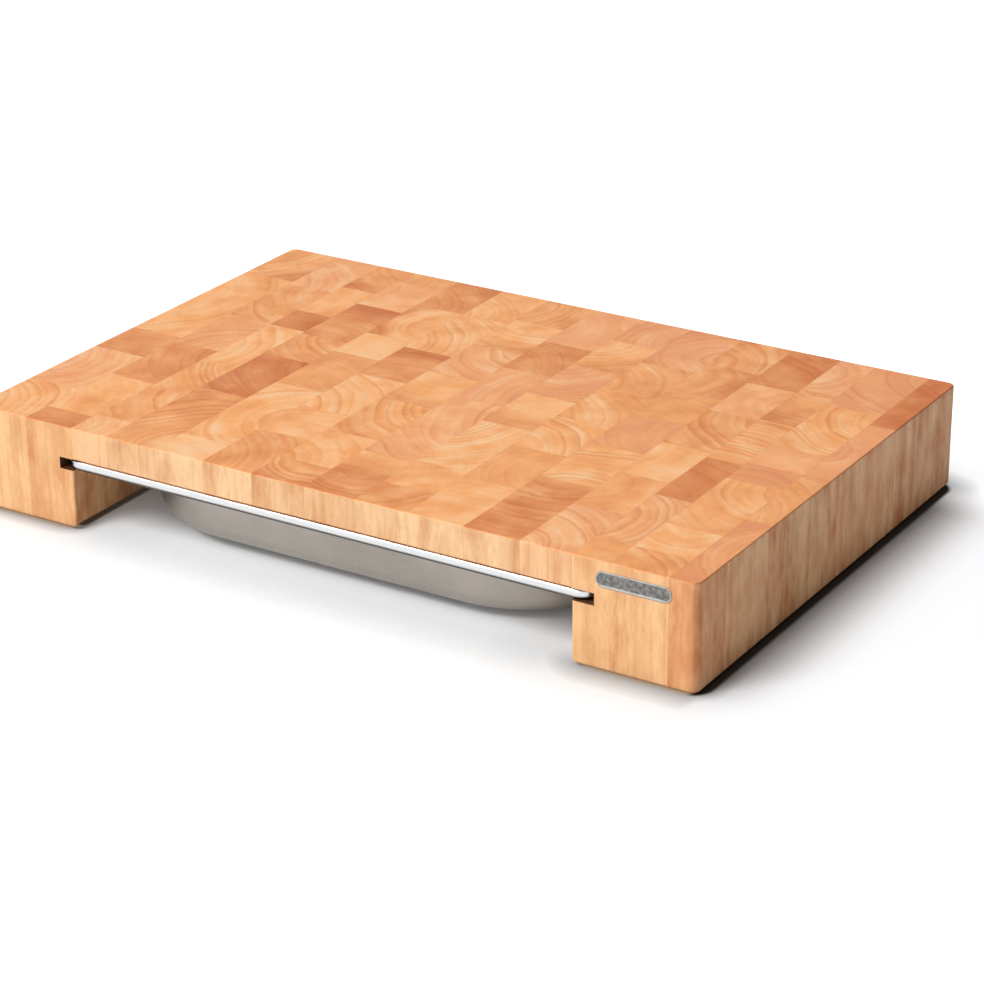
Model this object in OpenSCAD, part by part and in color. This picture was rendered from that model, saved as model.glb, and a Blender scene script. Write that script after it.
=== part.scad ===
// End-grain cutting board on two feet, with a sheet-metal drawer tray that slides in
// grooves under the slab. Millimetres. Origin on the surface the board stands on, at the
// middle of the board; +X to the right along the board, +Y to the back, +Z up.

/* [Board] */
// Length of the board, left to right
board_length = 480; // [420:1:560]
// Depth of the board, front to back
board_depth = 325; // [290:1:380]
// Height of the wood, without the rubber feet
wood_height = 63.5; // [58:0.5:75]
// Thickness of the slab between the feet
slab_thickness = 20; // [16:0.5:24]
// Mean width of the two feet, left to right
foot_width = 73; // [66:0.5:85]
// How far the channel between the feet lies to the right of the board's middle
channel_shift = -2; // [-2.5:0.5:2.5]
// Radius of the four upright corners
corner_radius = 5; // [4.5:0.5:9]
// Radius of the edges of the chopping surface and of the slab's underside
top_edge_radius = 1; // [0.5:0.25:3]
// Radius of the bottom edges on the outside of the feet
bottom_edge_radius = 1.5; // [1:0.25:4.25]
// Radius of the feet's bottom edges towards the tray
inner_bottom_radius = 4.5; // [1:0.25:6]
// Radius of the feet's upright edges towards the tray
inner_edge_radius = 1.5; // [0.5:0.25:3]
// Thickness of the glue between two staves
glue_line = 0.1; // [0.05:0.05:0.3]

/* [Grooves] */
// How far the grooves are cut into the feet, as the mean of the two
groove_depth = 11.5; // [9:0.5:14]
// Height of each groove
groove_height = 7; // [6:0.25:9]

/* [Tray] */
// Thickness of the tray's sheet metal
sheet = 0.8; // [0.6:0.1:1.2]
// Gap between the rim and the bottom of the groove, on each side
rim_side_gap = 1.5; // [0.5:0.25:3]
// Gap between the rim and the ledge that it slides on
rim_rest_gap = 0.3; // [0.2:0.05:0.5]
// Gap between the rim and the slab above it
rim_top_gap = 0.7; // [0.4:0.1:1.5]
// How far the rim lies behind the board's front and back faces
rim_setback = 0.5; // [0:0.25:4]
// Radius of the rim's corners, seen from above
rim_corner_radius = 12; // [6:0.5:20]
// Outside radius of the rolled edge
rim_roll_radius = 2; // [1.4:0.1:2.4]
// How far the rolled edge turns up again past its lowest point, in degrees
rim_curl = 40; // [0:5:80]
// Gap between the bowl's wall and the foot beside it
bowl_side_gap = 4.5; // [2:0.5:12]
// Width of the flat flange at the front and back
front_flange = 16.5; // [12:0.5:30]
// Radius of the bowl's corners, seen from above
bowl_corner_radius = 80; // [50:1:100]
// Slope of the bowl's wall, in degrees from upright
wall_slope = 3; // [0:0.5:8]
// Radius between the flange and the bowl's wall
shoulder_radius = 4; // [2:0.25:6]
// Radius between the bowl's wall and its floor
floor_radius = 11; // [6:0.5:18]
// Gap between the bowl and the surface under the board
tray_floor_gap = 5; // [2:0.1:12]

/* [Front plate] */
// Length of the plate
plate_length = 45.5; // [30:0.5:56]
// Height of the plate
plate_height = 9.25; // [8:0.25:16]
// Thickness of the plate's field
plate_thickness = 1.2; // [0.8:0.1:2]
// How far the field lies behind the wood's face
plate_recess = 0.1; // [0:0.05:0.4]
// Height of the plate's raised border above its field
plate_border_height = 0.5; // [0.2:0.05:1]
// Width of the plate's raised border
plate_border_width = 1; // [0.8:0.1:2]
// Gap between the plate and its pocket, all round
plate_gap = 0.1; // [0.05:0.05:0.3]
// Distance from the chopping surface to the plate's middle
plate_drop = 10.5; // [9:0.25:14]
// Sideways shift of the plate from the middle of the foot
plate_shift = -0.5; // [-4:0.5:0]

/* [Rubber feet] */
// Diameter of each rubber foot
pad_diameter = 22; // [16:0.5:28]
// How far each rubber foot stands out of the wood
pad_stand = 1.5; // [1.5:0.25:5]
// How deep each rubber foot sits in the wood
pad_sink = 3; // [2:0.25:6]
// Gap round each rubber foot in its pocket
pad_gap = 0.1; // [0.05:0.05:0.3]
// Radius of the rubber foot's lower edge
pad_edge_radius = 1; // [0.5:0.1:1.4]
// Distance from the board's end to the middle of the rubber foot
pad_inset_x = 34; // [24:1:38]
// Distance from the board's front or back to the middle of the rubber foot
pad_inset_y = 30; // [20:1:60]

/* [Screws] */
// Diameter of the screw's shank
screw_diameter = 3.5; // [3:0.1:4.5]
// Diameter of the screw's head
screw_head_diameter = 7; // [6.6:0.1:8]
// Height of the screw's head
screw_head_height = 2.2; // [1.6:0.1:2.4]
// Length of the screw below its head
screw_length = 16; // [12:0.5:25]
// Gap between the screw's head and the surface that the board stands on
screw_head_clearance = 0.8; // [0.5:0.1:1.2]
// Gap round the shank in its hole and round the head in the rubber
screw_gap = 0.1; // [0.05:0.05:0.3]

/* [Hidden] */
$fn = 96;

wood = [0.90, 0.65, 0.42];
wood_light = [0.95, 0.75, 0.52];
wood_dark = [0.84, 0.56, 0.35];
steel = [0.74, 0.73, 0.71];
zinc = [0.55, 0.55, 0.54];
rubber = [0.08, 0.08, 0.08];
screw_steel = [0.66, 0.66, 0.68];

// A cutter runs this far past the faces that it opens.
over = 1;
// A rounding runs this far past the two faces that it joins.
skirt = 0.3;
// Width of the strip where the bowl and the flange plate are modelled over each other
flange_lap = 1;
// Straight pieces in each arc of the tray's sections
arc_steps = 10;

// Widths of the strips, left to right, in each foot and in the slab between the feet.
// They are shares: each group is stretched to the width that it has to fill.
left_foot_strips = [38, 33];
slab_strips = [26, 34, 34, 34, 35, 34, 34, 36, 35, 32];
right_foot_strips = [23, 35, 17];

// Glue joints of each strip, from the back edge, on a board that is joint_depth deep.
joint_depth = 325;
left_foot_joints = [
    [55, 175, 213, 275],
    [60, 125, 182, 245, 305]
];
slab_joints = [
    [47, 97, 127, 200, 250, 300],
    [20, 68, 130, 170, 235],
    [50, 108, 145, 205, 298],
    [50, 117, 168, 228, 270],
    [42, 92, 143, 193, 250, 297],
    [65, 115, 170, 265, 298],
    [42, 90, 143, 193, 262, 297],
    [65, 115, 165, 215, 268],
    [48, 95, 140, 190, 245],
    [62, 112, 168, 218, 268]
];
right_foot_joints = [
    [55, 110, 175, 235, 298],
    [70, 140, 170, 195, 265, 300],
    [85, 170, 240]
];

// Heights above the surface that the board stands on
wood_bottom = pad_stand;
wood_top = wood_bottom + wood_height;
slab_bottom = wood_top - slab_thickness;
groove_bottom = slab_bottom - groove_height;
rim_top = slab_bottom - rim_top_gap;
rim_bottom = groove_bottom + rim_rest_gap;

channel_width = board_length - 2 * foot_width;
channel_left = -channel_width / 2 + channel_shift;
channel_right = channel_width / 2 + channel_shift;
tray_length = channel_width + 2 * (groove_depth - rim_side_gap);
tray_depth = board_depth - 2 * rim_setback;
bowl_length = channel_width - 2 * bowl_side_gap;
bowl_width = tray_depth - 2 * front_flange;
bowl_bottom = tray_floor_gap;
mouth_radius = bowl_corner_radius
    + (shoulder_radius - sheet - shoulder_radius * sin(wall_slope)) / cos(wall_slope);

plate_x = (channel_right + board_length / 2) / 2 + plate_shift;
plate_z = wood_top - plate_drop;
plate_front = -board_depth / 2 + plate_recess;
plate_back = plate_front + plate_thickness;

pad_top = wood_bottom + pad_sink;
pad_x = board_length / 2 - pad_inset_x;
pad_y = board_depth / 2 - pad_inset_y;
head_top = screw_head_clearance + screw_head_height;
screw_tip = head_top + screw_length;

// Sum of the first n numbers of a list
function first_sum(list, n) = n <= 0 ? 0 : list[n - 1] + first_sum(list, n - 1);

// Place of edge n of a row of shares that fills a width from a start
function strip_edge(start, width, shares, n) =
    start + width * first_sum(shares, n) / first_sum(shares, len(shares));

// The 2D web between a corner of a given angle at the origin, with one side along +X,
// and a circle that touches both sides. It fills an inner corner or rounds an outer one,
// and a skirt carries it a little past both sides.
module corner_web(angle, radius) {
    reach = radius / tan(angle / 2);
    tip = skirt / tan(angle / 2);
    difference() {
        polygon([
            [-tip, -skirt], [reach, -skirt], [reach, radius],
            [reach * cos(angle) - skirt * sin(angle), reach * sin(angle) + skirt * cos(angle)]
        ]);
        translate([reach, radius]) circle(radius);
    }
}

// A 2D profile with its height along Y, carried round a rectangle with round corners.
// The profile's X is measured outwards from the centre of the corner radius.
module sweep_round(length, depth, radius) {
    side_x = length / 2 - radius;
    side_y = depth / 2 - radius;
    for (turn = [0:3]) {
        right = turn == 0 || turn == 3;
        back = turn < 2;
        translate([right ? side_x : -side_x, back ? side_y : -side_y, 0])
            rotate(90 * turn) rotate_extrude(angle = 90) children();
    }
    for (side = [-1, 1]) {
        translate([side * side_x, 0, 0]) rotate(side > 0 ? 0 : 180)
            translate([0, side_y, 0]) rotate([90, 0, 0]) linear_extrude(2 * side_y) children();
        translate([0, side * side_y, 0]) rotate(side > 0 ? 90 : -90)
            translate([0, side_x, 0]) rotate([90, 0, 0]) linear_extrude(2 * side_x) children();
    }
}

// A block of wood as large as the board, from a height up to the chopping surface
module wood_block(bottom, bottom_radius) {
    sweep_round(board_length, board_depth, corner_radius) {
        difference() {
            translate([0, bottom]) square([corner_radius, wood_top - bottom]);
            translate([corner_radius, wood_top]) rotate(180) corner_web(90, top_edge_radius);
            translate([corner_radius, bottom]) rotate(90) corner_web(90, bottom_radius);
        }
    }
    core_length = board_length - 2 * corner_radius;
    core_depth = board_depth - 2 * corner_radius;
    translate([-core_length / 2, -core_depth / 2, bottom])
        cube([core_length, core_depth, wood_top - bottom]);
}

// The channel between the feet, with a groove in each foot and the feet's inner edges
// rounded. The grooves are centred on the tray, also where the channel is shifted.
module channel_cut() {
    length = board_depth + 2 * over;
    edges = [channel_right, -channel_left];
    translate([0, length / 2, 0]) rotate([90, 0, 0]) linear_extrude(length) {
        translate([channel_left, wood_bottom - over])
            square([channel_width, slab_bottom - wood_bottom + over]);
        translate([-channel_width / 2 - groove_depth, groove_bottom])
            square([channel_width + 2 * groove_depth, groove_height]);
        for (side = [0, 1]) mirror([side, 0])
            translate([edges[side], wood_bottom]) corner_web(90, inner_bottom_radius);
    }
    for (side = [0, 1]) for (y = [0, 1]) mirror([side, 0, 0]) mirror([0, y, 0])
        translate([edges[side], -board_depth / 2, wood_bottom - over])
            linear_extrude(slab_bottom - wood_bottom + over) corner_web(90, inner_edge_radius);
}

// A shape with round ends, lying in the XZ plane with its front at a depth y
module round_bar(length, height, front, back) {
    translate([plate_x, back, plate_z]) rotate([90, 0, 0]) linear_extrude(back - front) {
        square([length - height, height], center = true);
        for (side = [-1, 1]) translate([side * (length - height) / 2, 0]) circle(height / 2);
    }
}

// A copy of something at each of the four rubber feet
module at_rubber_feet() {
    for (x = [-1, 1]) for (y = [-1, 1]) translate([x * pad_x, y * pad_y, 0]) children();
}

module foot_wood() {
    difference() {
        wood_block(wood_bottom, bottom_edge_radius);
        channel_cut();
        at_rubber_feet() {
            translate([0, 0, wood_bottom - over])
                cylinder(h = pad_sink + over, d = pad_diameter + 2 * pad_gap);
            cylinder(h = screw_tip + 2 * screw_gap, d = screw_diameter + 2 * screw_gap);
        }
        round_bar(plate_length + 2 * plate_gap, plate_height + 2 * plate_gap,
            plate_front - over, plate_back + plate_gap);
    }
}

module slab_wood() {
    wood_block(slab_bottom, top_edge_radius);
}

// The upright prisms that the staves of one strip are cut from. They end half a glue line
// short of the next stave and run past the board where there is none.
module stave_prisms(left, right, joints) {
    at_left_end = left <= -board_length / 2;
    at_right_end = right >= board_length / 2;
    from_x = at_left_end ? left - over : left + glue_line / 2;
    to_x = at_right_end ? right + over : right - glue_line / 2;
    last = len(joints);
    for (n = [0:last]) {
        back_joint = n == 0 ? 0 : joints[n - 1] * board_depth / joint_depth;
        front_joint = n == last ? board_depth : joints[n] * board_depth / joint_depth;
        from_y = board_depth / 2 - front_joint + (n == last ? -over : glue_line / 2);
        to_y = board_depth / 2 - back_joint + (n == 0 ? over : -glue_line / 2);
        translate([from_x, from_y, 0]) cube([to_x - from_x, to_y - from_y, wood_top + over]);
    }
}

// Strip n of a group of strips that fills a width from a start
module strip(start, width, shares, joints, n) {
    intersection() {
        children();
        stave_prisms(strip_edge(start, width, shares, n),
            strip_edge(start, width, shares, n + 1), joints[n]);
    }
}

module left_foot_strip(n) {
    width = foot_width + channel_shift;
    strip(-board_length / 2, width, left_foot_strips, left_foot_joints, n) foot_wood();
}

module slab_strip(n) {
    strip(channel_left, channel_width, slab_strips, slab_joints, n) slab_wood();
}

module right_foot_strip(n) {
    width = foot_width - channel_shift;
    strip(channel_right, width, right_foot_strips, right_foot_joints, n) foot_wood();
}

module left_foot_outer_strip() { color(wood) left_foot_strip(0); }
module left_foot_inner_strip() { color(wood_light) left_foot_strip(1); }
module right_foot_inner_strip() { color(wood) right_foot_strip(0); }
module right_foot_middle_strip() { color(wood_light) right_foot_strip(1); }
module right_foot_outer_strip() { color(wood_dark) right_foot_strip(2); }

// Points along an arc, from one angle to another
function arc_points(x, y, radius, from, to) = [
    for (n = [0:arc_steps]) let (angle = from + (to - from) * n / arc_steps)
        [x + radius * cos(angle), y + radius * sin(angle)]
];

// The rim's section: a flat flange that rolls down and curls in under itself
module rim_section() {
    bend_x = rim_corner_radius - rim_roll_radius;
    upper_bend = rim_top - rim_roll_radius;
    lower_bend = rim_bottom + rim_roll_radius;
    inside = rim_roll_radius - sheet;
    curl_end = -90 - rim_curl;
    polygon(concat(
        [[0, rim_top]],
        arc_points(bend_x, upper_bend, rim_roll_radius, 90, 0),
        arc_points(bend_x, lower_bend, rim_roll_radius, 0, curl_end),
        arc_points(bend_x, lower_bend, inside, curl_end, 0),
        arc_points(bend_x, upper_bend, inside, 0, 90),
        [[0, rim_top - sheet]]
    ));
}

// The section of the bowl's sheet: a strip of flange, the shoulder, a sloping wall and the
// round into the floor, first along the outside and then back along the inside
module bowl_section() {
    shoulder_y = rim_top - shoulder_radius;
    floor_x = bowl_corner_radius
        - (floor_radius + (rim_top - bowl_bottom - floor_radius) * sin(wall_slope)) / cos(wall_slope);
    floor_y = bowl_bottom + floor_radius;
    flange_end = mouth_radius + flange_lap;
    polygon(concat(
        [[0, bowl_bottom]],
        arc_points(floor_x, floor_y, floor_radius, -90, -wall_slope),
        arc_points(mouth_radius, shoulder_y, shoulder_radius - sheet, 180 - wall_slope, 90),
        [[flange_end, rim_top - sheet], [flange_end, rim_top]],
        arc_points(mouth_radius, shoulder_y, shoulder_radius, 90, 180 - wall_slope),
        arc_points(floor_x, floor_y, floor_radius - sheet, -wall_slope, -90),
        [[0, bowl_bottom + sheet]]
    ));
}

// A 2D rectangle with round corners
module round_rectangle(length, depth, radius) {
    square([length - 2 * radius, depth], center = true);
    square([length, depth - 2 * radius], center = true);
    for (x = [-1, 1]) for (y = [-1, 1])
        translate([x * (length / 2 - radius), y * (depth / 2 - radius)]) circle(radius);
}

module drawer_tray() {
    hole_radius = mouth_radius + flange_lap / 2;
    hole_spread = 2 * (hole_radius - bowl_corner_radius);
    color(steel) {
        sweep_round(tray_length, tray_depth, rim_corner_radius) rim_section();
        translate([0, 0, rim_top - sheet]) linear_extrude(sheet) difference() {
            square([tray_length - 2 * rim_corner_radius, tray_depth - 2 * rim_corner_radius], center = true);
            round_rectangle(bowl_length + hole_spread, bowl_width + hole_spread, hole_radius);
        }
        sweep_round(bowl_length, bowl_width, bowl_corner_radius) bowl_section();
        floor_length = bowl_length - 2 * bowl_corner_radius;
        floor_width = bowl_width - 2 * bowl_corner_radius;
        translate([-floor_length / 2, -floor_width / 2, bowl_bottom])
            cube([floor_length, floor_width, sheet]);
    }
}

// The plate's place is bare: a field with a raised border
module front_plate() {
    border_front = plate_front - plate_border_height;
    color(zinc) difference() {
        round_bar(plate_length, plate_height, border_front, plate_back);
        round_bar(plate_length - 2 * plate_border_width, plate_height - 2 * plate_border_width,
            border_front - over, plate_front);
    }
}

// A round rubber foot with a stepped hole for its screw
module rubber_foot(x, y) {
    outer = pad_diameter / 2;
    color(rubber) translate([x * pad_x, y * pad_y, 0]) difference() {
        rotate_extrude() difference() {
            square([outer, pad_top]);
            translate([outer, 0]) rotate(90) corner_web(90, pad_edge_radius);
        }
        translate([0, 0, -over]) cylinder(h = pad_top + 2 * over, d = screw_diameter + 2 * screw_gap);
        translate([0, 0, -over]) cylinder(h = head_top + over, d = screw_head_diameter + 2 * screw_gap);
    }
}

// One screw, its head down: a domed head, a shank and a cone for its point
module foot_screw() {
    head_edge = screw_head_height / 2;
    point = screw_diameter;
    rotate_extrude() {
        translate([0, screw_head_clearance + head_edge]) square([screw_head_diameter / 2, head_edge]);
        translate([0, screw_head_clearance]) intersection() {
            square([screw_head_diameter / 2, head_edge]);
            dome = (pow(screw_head_diameter / 2, 2) + pow(head_edge, 2)) / (2 * head_edge);
            translate([0, dome]) circle(dome);
        }
        translate([0, head_top]) polygon([
            [0, 0], [screw_diameter / 2, 0], [screw_diameter / 2, screw_length - point], [0, screw_length]
        ]);
    }
}

module foot_screws() {
    color(screw_steel) at_rubber_feet() foot_screw();
}

left_foot_outer_strip();
left_foot_inner_strip();
for (n = [0:len(slab_strips) - 1]) {
    color(n % 2 == 0 ? wood_light : wood) slab_strip(n);
}
right_foot_inner_strip();
right_foot_middle_strip();
right_foot_outer_strip();
drawer_tray();
front_plate();
rubber_foot(-1, -1);  // rubber_foot_front_left
rubber_foot(1, -1);  // rubber_foot_front_right
rubber_foot(-1, 1);  // rubber_foot_back_left
rubber_foot(1, 1);  // rubber_foot_back_right
foot_screws();
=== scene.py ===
"""An end-grain cutting board with a steel drawer tray: its looks, the light and the camera."""

import math
import random

import bmesh
import bpy
from mathutils import Matrix, Vector


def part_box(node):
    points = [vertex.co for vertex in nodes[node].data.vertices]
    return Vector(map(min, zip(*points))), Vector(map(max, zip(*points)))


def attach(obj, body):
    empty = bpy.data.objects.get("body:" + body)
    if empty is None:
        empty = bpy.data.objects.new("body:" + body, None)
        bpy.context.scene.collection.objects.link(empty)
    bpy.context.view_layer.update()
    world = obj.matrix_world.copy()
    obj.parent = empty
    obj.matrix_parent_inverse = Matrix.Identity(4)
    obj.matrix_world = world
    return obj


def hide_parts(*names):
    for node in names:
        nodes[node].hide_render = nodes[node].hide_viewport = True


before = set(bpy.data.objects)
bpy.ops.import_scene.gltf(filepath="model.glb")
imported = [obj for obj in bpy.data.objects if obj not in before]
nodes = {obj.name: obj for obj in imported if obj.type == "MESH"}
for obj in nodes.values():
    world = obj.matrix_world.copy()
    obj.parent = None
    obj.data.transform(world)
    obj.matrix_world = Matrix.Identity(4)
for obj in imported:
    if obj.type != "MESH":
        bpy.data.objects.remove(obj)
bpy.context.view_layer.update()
MM = 0.001

# ---------------------------------------------------------------- materials


class Surface:
    """A material, with short ways to add nodes and join them to its shader."""

    def __init__(self, name, values):
        self.material = bpy.data.materials.new(name)
        self.material.use_nodes = True
        self.tree = self.material.node_tree
        self.shader = self.tree.nodes["Principled BSDF"]
        for socket, value in values.items():
            self.shader.inputs[socket].default_value = value

    def join(self, socket, value):
        if isinstance(value, bpy.types.NodeSocket):
            self.tree.links.new(value, socket)
        else:
            socket.default_value = value

    def add(self, kind, inputs=None, **settings):
        node = self.tree.nodes.new(kind)
        for name, value in settings.items():
            setattr(node, name, value)
        for name, value in (inputs or {}).items():
            self.join(node.inputs[name], value)
        return node

    def math(self, operation, *values):
        return self.add("ShaderNodeMath", dict(enumerate(values)), operation=operation).outputs[0]

    def plus(self, first, second):
        return self.math("ADD", first, second)

    def minus(self, first, second):
        return self.math("SUBTRACT", first, second)

    def times(self, first, second):
        return self.math("MULTIPLY", first, second)

    def absolute(self, value):
        return self.math("ABSOLUTE", value)

    def vector(self, operation, *values):
        node = self.add("ShaderNodeVectorMath", dict(enumerate(values)), operation=operation)
        return node.outputs["Value" if operation == "LENGTH" else "Vector"]

    def millimetres(self):
        place = self.add("ShaderNodeTexCoord").outputs["Object"]
        return self.vector("MULTIPLY", place, (1000, 1000, 1000))

    def split(self, vector):
        return self.add("ShaderNodeSeparateXYZ", {0: vector}).outputs

    def combine(self, *values):
        return self.add("ShaderNodeCombineXYZ", dict(enumerate(values))).outputs[0]

    def noise(self, place, scale, detail=2.0, roughness=0.5):
        inputs = {"Vector": place, "Scale": scale, "Detail": detail, "Roughness": roughness}
        return self.add("ShaderNodeTexNoise", inputs).outputs["Fac"]

    def ramp(self, value, start, end, low=0.0, high=1.0, kind="SMOOTHSTEP"):
        inputs = {"Value": value, "From Min": start, "From Max": end, "To Min": low, "To Max": high}
        return self.add("ShaderNodeMapRange", inputs, interpolation_type=kind).outputs["Result"]

    def mix(self, amount, first, second, blend="MIX"):
        # Of this node's numbered sockets, these are the factor, the two colours and the result
        inputs = {0: amount, 6: first, 7: second}
        return self.add("ShaderNodeMix", inputs, data_type="RGBA", blend_type=blend).outputs[2]

    def shaded(self, amount, base, tint):
        """The base colour multiplied by a tint, as far as the amount says."""
        return self.mix(amount, base, tint, "MULTIPLY")

    def attribute(self, name, output="Vector"):
        return self.add("ShaderNodeAttribute", attribute_name=name).outputs[output]

    def bump(self, height, strength, distance):
        inputs = {"Height": height, "Strength": strength, "Distance": distance}
        return self.add("ShaderNodeBump", inputs).outputs["Normal"]

    def wire(self, socket, value):
        self.join(self.shader.inputs[socket], value)


def colour(red, green, blue):
    """A colour given as it shows on a screen, from 0 to 255, as the linear values of a shader."""
    def linear(value):
        value /= 255
        return value / 12.92 if value <= 0.04045 else ((value + 0.055) / 1.055) ** 2.4

    return (linear(red), linear(green), linear(blue), 1.0)


# End grain as it shows on the chopping surface
END_LIGHT = colour(255, 178, 107)
END_BROWN = colour(207, 112, 50)
END_PINK = colour(243, 165, 118)
END_CREAM = colour(255, 208, 158)
# Long grain as it shows on the board's sides
SIDE_LIGHT = colour(251, 207, 158)
SIDE_BROWN = colour(208, 136, 84)
# Painted shade for the inside of the grooves
GROOVE_PAINTED_SHADE = colour(58, 38, 24)
RING_SHADE = (0.82, 0.66, 0.52, 1.0)
PORE_SHADE = (0.78, 0.66, 0.56, 1.0)
GLUE_SHADE = (0.84, 0.72, 0.60, 1.0)
# Painted shade for the rounded edge at the board's right end
ARRIS_SHADE_TINT = (0.50, 0.44, 0.36, 1.0)
FEET_TINT = (1.0, 0.92, 0.82, 1.0)
# The space, in mm, that holds only the two grooves' own faces
GROOVE_FROM_X, GROOVE_TO_X, GROOVE_LOW, GROOVE_HIGH = 164.0, 178.6, 37.9, 45.1
FEET_FROM_X = 163, 168
# How slowly the patterns change along the grain, against across it
ALONG_GRAIN, ALONG_PORES, ALONG_MOTTLES, ALONG_STREAKS, ALONG_DASHES = 0.08, 0.10, 0.45, 0.03, 0.09
# How far the rings' axis leans, how far the rings are warped in mm, and how unevenly they are
# spaced, in rings
LEAN, SLOW_WARP, FINE_WARP, UNEVEN_RINGS = 0.05, 15.0, 2.4, 2.2
# The parts of a ring, from 0 to 1, over which it darkens, turns to late wood and ends
SUMMER, LATE_WOOD, RING_END = (0.05, 0.80), (0.62, 0.82), (0.80, 1.0)
# How strongly each figure shades the end grain and the long grain
END_BANDS, END_LINES, END_RAYS, END_PORES = 0.66, 0.30, 0.14, 0.30
SIDE_PINK, SIDE_LINES, SIDE_STREAKS, SIDE_DASHES = 0.30, 0.45, 0.52, 0.5
CLOUDS, WIDE_STREAKS, MOTTLES, END_FACE_PAINTED_SHADE, ZONE_ON_SIDE = 0.26, 0.35, 0.42, 0.16, 0.8
GLUE_LINES, ARRIS_PAINTED_SHADE = 0.5, 0.75
GLUE_REACH = 0.05, 0.30
WOOD_RELIEF = 0.0001


def wood_surface():
    """Solid wood: growth rings round an upright axis that each stave has for itself."""
    s = Surface("oiled_wood", {"Roughness": 0.5, "Specular IOR Level": 0.3})
    place = s.millimetres()
    x, y, z = s.split(place)
    seed = s.attribute("stave_seed", "Fac")
    centre_x, centre_y, spacing = s.split(s.attribute("stave_rings"))
    brown, pink, contrast = s.split(s.attribute("stave_look"))
    band_start, band_end, band_depth = s.split(s.attribute("stave_band"))
    low_x, low_y, _ = s.split(s.attribute("stave_low"))
    high_x, high_y, _ = s.split(s.attribute("stave_high"))
    # Each stave reads the noises at a place of its own, so none repeats its neighbour
    shift = s.combine(s.times(seed, 61.0), s.times(seed, 37.0), 0.0)
    own_x, own_y, _ = s.split(s.vector("ADD", place, shift))
    level = s.combine(own_x, own_y, s.times(z, ALONG_GRAIN))

    # Distance from the rings' axis, which leans a little, with a slow and a fine warp
    lean = s.times(s.math("SINE", s.times(seed, 9.0)), LEAN)
    from_x = s.minus(s.math("MULTIPLY_ADD", z, lean, x), centre_x)
    from_y = s.minus(y, centre_y)
    slow = s.times(s.minus(s.noise(level, 0.02, 1.0), 0.5), SLOW_WARP)
    fine = s.times(s.minus(s.noise(level, 0.12, 2.0), 0.5), FINE_WARP)
    true_radius = s.vector("LENGTH", s.combine(from_x, from_y, 0.0))
    radius = s.plus(s.plus(true_radius, slow), fine)
    uneven = s.times(s.noise(s.combine(radius, seed, 0.0), 0.07, 1.0), UNEVEN_RINGS)
    count = s.plus(s.math("DIVIDE", radius, spacing), uneven)
    ring = s.math("FLOOR", count)
    part = s.math("FRACT", count)

    # A ring darkens slowly through the summer's growth and then ends; some are stronger
    ended = s.ramp(part, *RING_END, 1.0, 0.0)
    grown = s.times(s.ramp(part, *SUMMER), ended)
    late = s.times(s.ramp(part, *LATE_WOOD), ended)
    rank = s.add("ShaderNodeTexWhiteNoise", {"W": s.math("MULTIPLY_ADD", seed, 17.3, ring)},
                 noise_dimensions="1D")
    strength = s.ramp(rank.outputs["Value"], 0.15, 1.0, 0.12, 1.0)
    weight = s.times(strength, contrast)
    band = s.times(grown, weight)
    line = s.times(late, weight)

    # Soft clouds of colour, one broad darker zone, rays across the rings, and pores
    cloud = s.noise(level, 0.05, 2.5, 0.55)
    zone = s.times(s.ramp(radius, band_start, band_end), band_depth)
    ray_way = s.vector("NORMALIZE", s.combine(from_x, from_y, 0.0))
    ray_turn = s.combine(0.0, 0.0, s.times(true_radius, 0.08))
    ray_place = s.vector("ADD", s.vector("MULTIPLY", ray_way, (70.0, 70.0, 0.0)), ray_turn)
    rays = s.noise(ray_place, 1.0, 2.0)
    pore_place = s.combine(own_x, own_y, s.times(z, ALONG_PORES))
    cells = s.add("ShaderNodeTexVoronoi", {"Vector": pore_place, "Scale": 1.1})
    pores = s.ramp(cells.outputs["Distance"], 0.08, 0.26, 1.0, 0.0)
    pores = s.times(pores, s.ramp(s.noise(level, 0.25, 1.0), 0.45, 0.65))

    # The cut ends of the fibres
    shade = s.plus(s.plus(brown, zone), s.ramp(cloud, 0.25, 0.75, -CLOUDS, CLOUDS, "LINEAR"))
    end = s.mix(s.ramp(shade, 0.0, 1.0, kind="LINEAR"), END_LIGHT, END_BROWN)
    end = s.mix(s.times(pink, s.ramp(cloud, 0.3, 0.7, 0.45, 0.85)), end, END_PINK)
    wisps = s.noise(s.combine(s.times(radius, 0.13), s.times(own_x, 0.03), seed), 1.0, 2.0)
    pale = s.times(s.ramp(wisps, 0.40, 0.78), s.ramp(shade, 0.0, 0.7, 0.72, 0.08))
    pale = s.times(pale, s.ramp(contrast, 0.0, 1.0, 0.35, 0.9, "LINEAR"))
    end = s.mix(s.plus(pale, s.ramp(shade, -0.32, 0.12, 0.6, 0.0, "LINEAR")), end, END_CREAM)
    end = s.shaded(s.times(band, END_BANDS), end, RING_SHADE)
    end = s.shaded(s.times(line, END_LINES), end, RING_SHADE)
    end = s.shaded(s.ramp(rays, 0.35, 0.65, 0.0, END_RAYS), end, PORE_SHADE)
    end = s.shaded(s.times(pores, END_PORES), end, PORE_SHADE)

    # The fibres from the side: the same rings as upright lines, with streaks and short dashes
    waver = s.times(s.minus(s.noise(s.combine(own_x, own_y, z), 0.045, 1.0), 0.5), 5.0)
    streak_place = s.combine(s.plus(own_x, waver), s.plus(own_y, waver), s.times(z, ALONG_STREAKS))
    streaks = s.noise(streak_place, 0.30, 4.0, 0.62)
    wide_streaks = s.noise(streak_place, 0.075, 2.0)
    dash_place = s.combine(own_x, own_y, s.times(z, ALONG_DASHES))
    dashes = s.ramp(s.noise(dash_place, 1.3, 1.5), 0.60, 0.72)
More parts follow.
